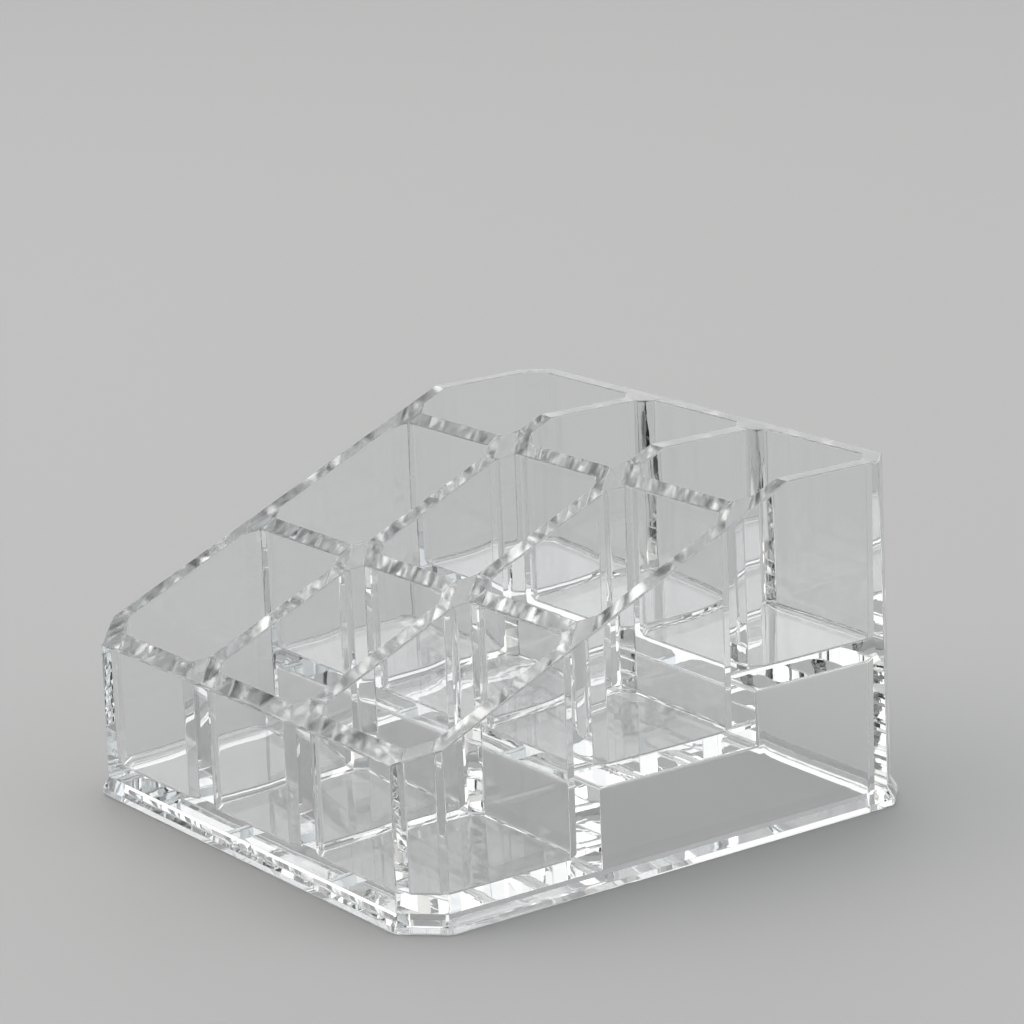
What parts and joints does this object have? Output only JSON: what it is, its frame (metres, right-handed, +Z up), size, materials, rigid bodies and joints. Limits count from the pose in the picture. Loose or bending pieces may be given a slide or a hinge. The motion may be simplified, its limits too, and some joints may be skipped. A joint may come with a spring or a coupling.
{
  "type": "jewelry organizer box",
  "caption": "Clear open organizer box with a sloping rim, stepped floors and a grid of drafted cells for rings, earrings and small tubes, standing on a bevelled base frame.",
  "frame": {"origin": "middle of the footprint, on the surface the box stands on", "axes": "+X along the low front wall, towards the right as one faces it; +Y from the low front wall to the high back wall; +Z up"},
  "size_m": [0.0958, 0.0948, 0.055],
  "materials": {
    "clear_frame": "clear polished acrylic",
    "clear_walls": "clear polished acrylic",
    "clear_dividers": "clear polished acrylic",
    "clear_floors": "clear polished acrylic"
  },
  "bodies": {
    "root": {"base_frame": "clear_frame", "front_wall": "clear_walls", "back_wall": "clear_walls", "left_side_wall": "clear_walls", "right_side_wall": "clear_walls", "corner_panel_front_left": "clear_walls", "corner_panel_front_right": "clear_walls", "corner_panel_rear_left": "clear_walls", "corner_panel_rear_right": "clear_walls", "row_divider_front": "clear_dividers", "row_divider_rear": "clear_dividers", "column_divider_left_front": "clear_dividers", "column_divider_left_middle": "clear_dividers", "column_divider_left_rear": "clear_dividers", "column_divider_right_front": "clear_dividers", "column_divider_right_middle": "clear_dividers", "column_divider_right_rear": "clear_dividers", "floor_front": "clear_floors", "floor_middle": "clear_floors", "floor_rear": "clear_floors"}
  },
  "joints": []
}
